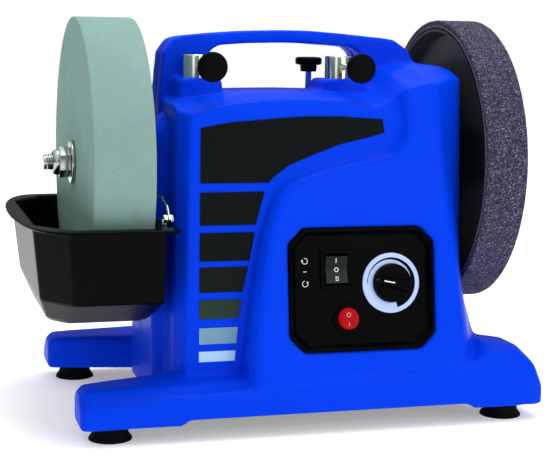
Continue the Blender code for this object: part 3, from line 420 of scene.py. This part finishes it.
def abrasive(name, colours, cell, rough, bump, distance):
    """Packed grains: each cell of the grit takes its own tone, over a broad unevenness."""
    made = bpy.data.materials.new(name)
    made.use_nodes = True
    nodes, wires = made.node_tree.nodes, made.node_tree.links
    shader = nodes["Principled BSDF"]
    shader.inputs["Roughness"].default_value = rough
    shader.inputs["Specular IOR Level"].default_value = 0.25
    where = nodes.new("ShaderNodeTexCoord")
    grit = nodes.new("ShaderNodeTexVoronoi")
    grit.inputs["Scale"].default_value = cell
    wires.new(where.outputs["Object"], grit.inputs["Vector"])
    tone = nodes.new("ShaderNodeSeparateColor")
    wires.new(grit.outputs["Color"], tone.inputs["Color"])
    ramp = nodes.new("ShaderNodeValToRGB")
    spread = len(colours) - 1
    ramp.color_ramp.elements[0].color = (*colours[0][1], 1)
    ramp.color_ramp.elements[0].position = colours[0][0]
    ramp.color_ramp.elements[1].color = (*colours[spread][1], 1)
    ramp.color_ramp.elements[1].position = colours[spread][0]
    for place, colour in colours[1:spread]:
        ramp.color_ramp.elements.new(place).color = (*colour, 1)
    wires.new(tone.outputs["Red"], ramp.inputs["Fac"])
    broad = nodes.new("ShaderNodeTexNoise")
    broad.inputs["Scale"].default_value = 30.0
    broad.inputs["Detail"].default_value = 5.0
    wires.new(where.outputs["Object"], broad.inputs["Vector"])
    shade = nodes.new("ShaderNodeMapRange")
    shade.inputs["To Min"].default_value = 0.86
    shade.inputs["To Max"].default_value = 1.1
    wires.new(broad.outputs["Fac"], shade.inputs["Value"])
    mix = nodes.new("ShaderNodeMix")
    mix.data_type = "RGBA"
    mix.blend_type = "MULTIPLY"
    mix.inputs["Factor"].default_value = 1.0
    wires.new(ramp.outputs["Color"], mix.inputs["A"])
    wires.new(shade.outputs["Result"], mix.inputs["B"])
    wires.new(mix.outputs["Result"], shader.inputs["Base Color"])
    relief = nodes.new("ShaderNodeBump")
    relief.inputs["Strength"].default_value = bump
    relief.inputs["Distance"].default_value = distance
    wires.new(grit.outputs["Distance"], relief.inputs["Height"])
    wires.new(relief.outputs["Normal"], shader.inputs["Normal"])
    return made


stone_low, stone_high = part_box("stone_wheel")
STONE_W = stone_high.x - stone_low.x
STONE_R = (stone_high.z - stone_low.z) / 2
BORE = 0.0063
stone_tones = ((0.0, (0.165, 0.275, 0.25)), (0.15, (0.20, 0.335, 0.30)), (0.8, (0.215, 0.35, 0.32)),
               (1.0, (0.24, 0.375, 0.345)))
stone_grit = abrasive("vitrified_grit", stone_tones, cell=2300.0, rough=0.95, bump=0.12, distance=0.0002)
stone = turned([(BORE, 0), (STONE_R, 0), (STONE_R, STONE_W), (BORE, STONE_W)],
               Vector((stone_low.x, 0, SPINDLE_Z)), 160, 0.0011, 3)
link("grinding_wheel", to_mesh("grinding_wheel", stone, stone_grit), "wheel_spindle", "stone_wheel")

# Honing wheel: a black plastic hub carries a thick granular band, violet grey with pale and dark
# grains. A thin brown bead of adhesive shows at the band's inner edge.
band_low, band_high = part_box("honing_band")
HONE_R, HONE_W = (band_high.z - band_low.z) / 2, band_high.x - band_low.x
BAND_T = 0.0045
band_tones = ((0.0, (0.006, 0.005, 0.010)), (0.3, (0.024, 0.021, 0.042)), (0.62, (0.045, 0.040, 0.080)),
              (0.85, (0.075, 0.068, 0.125)), (1.0, (0.22, 0.20, 0.31)))
band_grit = abrasive("honing_grit", band_tones, cell=1400.0, rough=0.95, bump=0.5, distance=0.0004)
GRAIN_ROOM = 0.0003        # left free at the tread for the raised grains
band_profile = [(HONE_R - BAND_T, 0), (HONE_R - GRAIN_ROOM, 0), (HONE_R - GRAIN_ROOM, HONE_W),
                (HONE_R - BAND_T, HONE_W)]
band = turned(band_profile, Vector((band_low.x, 0, SPINDLE_Z)), 300, 0.0012, 3)
across = [e for e in band.edges if abs(e.verts[0].co.x - e.verts[1].co.x) > HONE_W * 0.7]
bmesh.ops.subdivide_edges(band, edges=across, cuts=16, use_grid_fill=True)
GRAIN_SCALE, GRAIN_RISE = 420.0, 0.00028
for vert in band.verts:
    away = Vector((0, vert.co.y, vert.co.z - SPINDLE_Z))
    if away.length > HONE_R - 0.002:
        vert.co += away.normalized() * (noise.noise(vert.co * GRAIN_SCALE) * GRAIN_RISE)
band_mesh = to_mesh("honing_band_grain", band, band_grit)
link("honing_band_grain", band_mesh, "wheel_spindle", "honing_band")
hub_black = finish("hub_black", (0.004, 0.009, 0.011), 0.42, grain=800.0, bump=0.06, mottle=0.2, shine=0.12)
rim_r = HONE_R - BAND_T - 0.0003
hub_profile = [(BORE, 0), (0.018, 0), (0.018, 0.003), (0.022, 0.013), (rim_r - 0.006, 0.0115),
               (rim_r - 0.0035, 0), (rim_r, 0), (rim_r, HONE_W), (rim_r - 0.0035, HONE_W),
               (rim_r - 0.006, 0.0185), (0.022, 0.0185), (0.018, HONE_W), (BORE, HONE_W)]
hub = turned(hub_profile, Vector((band_low.x, 0, SPINDLE_Z)), 128, 0.0008, 2)
link("honing_wheel_hub", to_mesh("honing_wheel_hub", hub, hub_black), "wheel_spindle", "honing_hub")
glue = finish("adhesive_bead", (0.17, 0.10, 0.06), 0.55, grain=1500.0, bump=0.2, mottle=0.3)
for tag, x in (("inner", band_low.x + 0.0003), ("outer", band_high.x - 0.0003)):
    bead = turned([(rim_r - 0.0001, -0.00035), (rim_r + 0.0009, -0.00035), (rim_r + 0.0009, 0.00035),
                           (rim_r - 0.0001, 0.00035)], Vector((x, 0, SPINDLE_Z)), 160, 0.0002, 2)
    link(f"glue_line_{tag}", to_mesh("glue_line", bead, glue), "wheel_spindle")

# Spindle and its fixings: bright steel. Each end is threaded, and carries a thick washer and a
# lock nut with a rounded collar. A flange backs each wheel on the inside.
steel = finish("bright_steel", (0.44, 0.49, 0.45), 0.22, metal=1.0, grain=600.0, bump=0.05, mottle=0.12,
               stretch=(4.0, 1.0, 1.0))
SHAFT_R, PITCH, TOOTH = 0.0060, 0.00175, 0.00095
spindle_bm = turned([(0, spindle_low.x), (SHAFT_R - TOOTH, spindle_low.x),
                                (SHAFT_R - TOOTH, stone_low.x - 0.002), (SHAFT_R, stone_low.x - 0.001),
                                (SHAFT_R, band_high.x + 0.001), (SHAFT_R - TOOTH, band_high.x + 0.002),
                                (SHAFT_R - TOOTH, spindle_high.x), (0, spindle_high.x)],
                    Vector((0, 0, SPINDLE_Z)), 48, 0.0003, 2)
THREAD_STEPS = 40
tooth_profile = ((0.0001, -0.0002), (0.00075, TOOTH - 0.00005), (0.0010, TOOTH - 0.00005), (0.00165, -0.0002))
for start, end in ((spindle_low.x + 0.001, stone_low.x - 0.001),
                   (band_high.x + 0.001, spindle_high.x - 0.001)):
    turns = int((end - start) / PITCH)
    tooth = [spindle_bm.verts.new((start + x, 0, SPINDLE_Z + SHAFT_R - TOOTH + r)) for x, r in tooth_profile]
    side = [spindle_bm.edges.new(pair) for pair in zip(tooth, tooth[1:] + tooth[:1])]
    bmesh.ops.contextual_create(spindle_bm, geom=side)
    made = bmesh.ops.spin(spindle_bm, geom=tooth + side, cent=(0, 0, SPINDLE_Z), axis=(1, 0, 0),
                          dvec=(PITCH / THREAD_STEPS, 0, 0), angle=math.tau * turns,
                          steps=THREAD_STEPS * turns)
    last = [e for e in made["geom_last"] if isinstance(e, bmesh.types.BMEdge)]
    bmesh.ops.contextual_create(spindle_bm, geom=last)
spindle_mesh = to_mesh("threaded_spindle", spindle_bm, steel)
link("threaded_spindle", spindle_mesh, "wheel_spindle", "spindle")

WASHER_BORE_R = 0.0064
ACROSS_FLATS, HEX_H = 0.019, 0.0075
HEX_R = ACROSS_FLATS / math.sqrt(3)
for tag, way in (("left", -1.0), ("right", 1.0)):
    low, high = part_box(f"washer_{tag}")
    washer_r = high.z - SPINDLE_Z
    washer = turned([(WASHER_BORE_R, low.x), (washer_r, low.x), (washer_r, high.x), (WASHER_BORE_R, high.x)],
                    Vector((0, 0, SPINDLE_Z)), 96, 0.0005, 3)
    washer_mesh = to_mesh("thick_washer", washer, steel)
    link(f"thick_washer_{tag}", washer_mesh, "wheel_spindle", f"washer_{tag}")
    low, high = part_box(f"nut_{tag}")
    nut_long = high.x - low.x
    nut = bmesh.new()
    bmesh.ops.create_cone(nut, cap_ends=True, segments=6, radius1=HEX_R, radius2=HEX_R, depth=HEX_H,
                          matrix=Matrix.Translation((0, 0, HEX_H / 2)))
    upright_edges = [e for e in nut.edges if abs(e.verts[0].co.z - e.verts[1].co.z) > 0.001]
    bmesh.ops.bevel(nut, geom=upright_edges, offset=0.0006, segments=3, affect="EDGES", profile=0.5,
                    material=-1)
    end_edges = [e for e in nut.edges if e.calc_face_angle(0.0) > math.radians(60.0)]
    bmesh.ops.bevel(nut, geom=end_edges, offset=0.0007, segments=2, affect="EDGES", profile=0.5,
                    material=-1)
    bmesh.ops.rotate(nut, verts=nut.verts, cent=(0, 0, 0), matrix=Matrix.Rotation(math.radians(30.0), 3, "Z"))
    collar_profile = ((WASHER_BORE_R, 0.0068), (0.0088, 0.0068), (0.0091, 0.0086), (0.0086, 0.0104),
                      (0.0076, 0.0115), (0.0068, nut_long), (WASHER_BORE_R, nut_long))
    collar = [nut.verts.new((r, 0, h)) for r, h in collar_profile]
    ring = [nut.edges.new(pair) for pair in zip(collar, collar[1:] + collar[:1])]
    bmesh.ops.spin(nut, geom=collar + ring, cent=(0, 0, 0), axis=(0, 0, 1), angle=math.tau, steps=64,
                   use_merge=True)
    seat = Matrix.Translation((low.x if way > 0 else high.x, 0, SPINDLE_Z))
    bmesh.ops.transform(nut, verts=nut.verts, matrix=seat @ Matrix.Rotation(way * math.pi / 2, 4, "Y"))
    link(f"lock_nut_{tag}", to_mesh("lock_nut", nut, steel), "wheel_spindle", f"nut_{tag}")

# Support sleeves: chromed steel tubes, two upright on moulded blocks and two in the rear wall. Each
# has a black fluted thumb screw that clamps the support bar.


def stood(bm, at, matrix):
    """Turns a piece made along X to its own axis and puts it in place."""
    bmesh.ops.transform(bm, verts=bm.verts, matrix=Matrix.Translation(at) @ matrix)
    return bm


UP = Matrix.Rotation(-math.pi / 2, 4, "Y")
BACK = Matrix.Rotation(math.pi / 2, 4, "Z")
FORWARD = Matrix.Rotation(-math.pi / 2, 4, "Z")
SLEEVE_BORE_R = 0.0062
FLUTES, FLUTE_DEPTH = 36, 0.018            # depth as a share of the head's radius
thumb_black = finish("thumb_screw_black", (0.0005, 0.0008, 0.0008), 0.4, grain=1300.0, bump=0.06,
                     mottle=0.2, shine=0.04)
for tag in ("left", "right"):
    for place, matrix in (("front", UP), ("rear", BACK)):
        low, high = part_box(f"{place}_sleeve_{tag}")
        radius = (high.x - low.x) / 2
        middle = (low + high) / 2
        long = high.z - low.z if place == "front" else high.y - low.y
        foot = Vector((middle.x, middle.y, low.z) if place == "front" else (middle.x, low.y, middle.z))
        tube_profile = [(SLEEVE_BORE_R, 0), (radius, 0), (radius, long), (SLEEVE_BORE_R, long)]
        tube = stood(turned(tube_profile, Vector(), 96, 0.0007, 3), foot, matrix)
        link(f"{place}_tube_{tag}", to_mesh("sleeve_tube", tube, chrome), "machine_frame",
                     f"{place}_sleeve_{tag}")
        low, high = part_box(f"{place}_clamp_{tag}")
        head = (high.x - low.x) / 2
        middle = (low + high) / 2
        if place == "front":
            long, at, matrix = high.y - low.y, Vector((middle.x, high.y, middle.z)), FORWARD
        else:
            long, at, matrix = high.z - low.z, Vector((middle.x, middle.y, low.z)), UP
        stem = long - 0.011
        profile = [(0, 0), (0.0019, 0), (0.0024, 0.0006), (0.0024, stem), (0.0060, stem),
                   (0.0064, stem + 0.0048), (head - 0.0010, stem + 0.0052), (head, stem + 0.0061),
                   (head, long - 0.0012), (head - 0.0014, long - 0.0002), (0.0045, long), (0, long)]
        thumb = turned(profile, Vector(), 144, 0.0003, 2)
        for vert in thumb.verts:
            away = math.hypot(vert.co.y, vert.co.z)
            if away > head * 0.93:
                flute = 1.0 - FLUTE_DEPTH * abs(math.sin(FLUTES / 2 * math.atan2(vert.co.z, vert.co.y)))
                vert.co.y, vert.co.z = vert.co.y * flute, vert.co.z * flute
        for face in thumb.faces:
            centre = face.calc_center_median()
            face.material_index = int(math.hypot(centre.y, centre.z) < 0.00245 and centre.x < stem + 0.0001)
        stood(thumb, at, matrix)
        thumb_mesh = to_mesh("thumb_screw", thumb, thumb_black)
        thumb_mesh.materials.append(steel)
        link(f"{place}_thumb_screw_{tag}", thumb_mesh, f"{place}_clamp_{tag}_body",
                     f"{place}_clamp_{tag}")

# Feet: soft black rubber, flared to the bench. Each is held by a screw through its middle.
rubber = finish("foot_rubber", (0.0015, 0.0016, 0.0018), 0.7, grain=900.0, bump=0.12, mottle=0.2, shine=0.08)
for tag in ("front_left", "front_right", "rear_left", "rear_right"):
    low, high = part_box(f"foot_{tag}")
    r, top = (high.x - low.x) / 2, high.z
    profile = [(0.0024, top), (r - 0.003, top), (r - 0.0030, 0.0065), (r - 0.0023, 0.0040),
               (r - 0.0003, 0.0014), (r, 0), (0.0055, 0), (0.0055, 0.0045), (0.0024, 0.0045)]
    foot = stood(turned(profile, Vector(), 96, 0.0005, 3),
                 Vector(((low.x + high.x) / 2, (low.y + high.y) / 2, 0)), UP)
    foot_mesh = to_mesh("rubber_foot", foot, rubber)
    link(f"rubber_foot_{tag}", foot_mesh, "machine_frame", f"foot_{tag}")

# Cord gland: a black plastic strain relief in the rear wall, ribbed round its outer end.
low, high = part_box("cord_gland")
long, middle = high.y - low.y, (low + high) / 2
RIB_START, RIB_PITCH = 0.0118, 0.00125
ribs = [(0.0050 if i % 2 else 0.0057, RIB_START + i * RIB_PITCH) for i in range(9)]
gland_profile = [(0.0035, 0), (0.0060, 0), (0.0060, 0.0084), (0.0085, 0.0084), (0.0085, 0.0110), *ribs,
                 (0.0035, long)]
gland = stood(turned(gland_profile, Vector(), 72, 0.00025, 2), Vector((middle.x, low.y, middle.z)), BACK)
gland_mesh = to_mesh("ribbed_gland", gland, black)
link("ribbed_gland", gland_mesh, "machine_frame", "cord_gland")

# Inner and underside pieces keep their own solids and take the finish of what they are: zinc-plated
# screws, pressed-steel brackets, ground bearing rings, a painted motor, a rubber belt and the board.
zinc = finish("zinc_plate", (0.55, 0.57, 0.55), 0.32, metal=1.0, grain=500.0, bump=0.08, mottle=0.15)
pressed = finish("pressed_steel", (0.42, 0.43, 0.44), 0.42, metal=1.0, grain=300.0, bump=0.10, mottle=0.18,
                 stretch=(1.0, 1.0, 6.0))
motor_paint = finish("motor_paint", (0.16, 0.17, 0.19), 0.45, grain=700.0, bump=0.15, mottle=0.12)
belt_rubber = finish("belt_rubber", (0.014, 0.013, 0.012), 0.75, grain=260.0, bump=0.5, mottle=0.2,
                     stretch=(0.2, 1.0, 1.0))
board_green = finish("board_lacquer", (0.01, 0.12, 0.035), 0.35, grain=420.0, bump=0.3, mottle=0.3)
plate_black = finish("base_plate_black", (0.010, 0.010, 0.011), 0.55, grain=450.0, bump=0.2, mottle=0.2)
finishes = {"bottom_plate": plate_black, "drive_belt": belt_rubber, "driven_pulley": black,
            "motor_pulley": black, "motor": motor_paint, "motor_bracket": pressed, "upright_left": pressed,
            "upright_right": pressed, "control_board": board_green, "potentiometer": zinc,
            "bearing_left": steel, "bearing_right": steel, "flange_left": steel, "flange_right": steel}
for tag in ("front_left", "front_right", "rear_left", "rear_right"):
    finishes[f"foot_screw_{tag}"] = zinc
for number in (1, 2, 3, 4):
    finishes[f"housing_screw_{number}"] = zinc
for node, paint in finishes.items():
    solid = frame["nodes"][node]
    solid.data.materials.clear()
    solid.data.materials.append(paint)

# Floor, soft light and camera. The light falls mostly from above and is dim near the horizon, and the
# backdrop shows plain white.
floor = bmesh.new()
bmesh.ops.create_grid(floor, x_segments=1, y_segments=1, size=6.0)
floor_mesh = bpy.data.meshes.new("floor")
floor.to_mesh(floor_mesh)
floor.free()
floor_paint = finish("pale_floor", (0.93, 0.93, 0.93), 0.8, grain=60.0, bump=0.0, mottle=0.01, shine=0.05)
floor_shader = floor_paint.node_tree.nodes["Principled BSDF"]
floor_shader.inputs["Emission Color"].default_value = (1, 1, 1, 1)
floor_shader.inputs["Emission Strength"].default_value = 0.3
floor_mesh.materials.append(floor_paint)
floor_piece = bpy.data.objects.new("floor", floor_mesh)
bpy.context.scene.collection.objects.link(floor_piece)

world = bpy.data.worlds.new("studio")
world.use_nodes = True
nodes, wires = world.node_tree.nodes, world.node_tree.links
sky = nodes.new("ShaderNodeTexCoord")
height = nodes.new("ShaderNodeSeparateXYZ")
wires.new(sky.outputs["Generated"], height.inputs["Vector"])
fall = nodes.new("ShaderNodeValToRGB")
fall.color_ramp.elements[0].position = 0.0
fall.color_ramp.elements[0].color = (0.03, 0.03, 0.03, 1)
fall.color_ramp.elements[1].position = 0.9
fall.color_ramp.elements[1].color = (1.2, 1.2, 1.2, 1)
wires.new(height.outputs["Z"], fall.inputs["Fac"])
wires.new(fall.outputs["Color"], nodes["Background"].inputs["Color"])
seen = nodes.new("ShaderNodeBackground")
straight = nodes.new("ShaderNodeLightPath")
either = nodes.new("ShaderNodeMixShader")
wires.new(straight.outputs["Is Camera Ray"], either.inputs["Fac"])
wires.new(nodes["Background"].outputs["Background"], either.inputs[1])
wires.new(seen.outputs["Background"], either.inputs[2])
wires.new(either.outputs["Shader"], nodes["World Output"].inputs["Surface"])
seen.inputs["Color"].default_value = (1, 1, 1, 1)
bpy.context.scene.world = world
aim = Vector((0, 0, 0.14))
lamps = (("key", (0.75, -1.7, 0.75), 0.9, 9.0), ("fill", (-1.1, -1.5, 0.6), 0.6, 1.2),
         ("top", (0.1, 0.1, 1.6), 0.8, 13.0))
for name, at, size, watts in lamps:
    lamp = bpy.data.lights.new(name, "AREA")
    lamp.shape = "RECTANGLE"
    lamp.size = lamp.size_y = size
    lamp.energy = watts
    light = bpy.data.objects.new(name, lamp)
    light.location = at
    light.rotation_euler = (aim - Vector(at)).to_track_quat("-Z", "Y").to_euler()
    bpy.context.scene.collection.objects.link(light)
bpy.context.scene.view_settings.view_transform = "Standard"

AZIMUTH, ELEVATION, ROLL = math.radians(-15.93), math.radians(8.0), math.radians(0.92)
back = Vector((math.sin(AZIMUTH) * math.cos(ELEVATION), -math.cos(AZIMUTH) * math.cos(ELEVATION),
               math.sin(ELEVATION)))
right = Vector((math.cos(AZIMUTH), math.sin(AZIMUTH), 0))
up = back.cross(right)
across_view = right * math.cos(ROLL) + up * math.sin(ROLL)
up_view = up * math.cos(ROLL) - right * math.sin(ROLL)
lens = bpy.data.cameras.new("camera")
lens.lens = 90.4
camera = bpy.data.objects.new("camera", lens)
camera.matrix_world = Matrix.Translation((-0.2633, -0.9596, 0.2602)) @ Matrix(
    (across_view, up_view, back)).transposed().to_4x4()
bpy.context.scene.collection.objects.link(camera)
bpy.context.scene.camera = camera
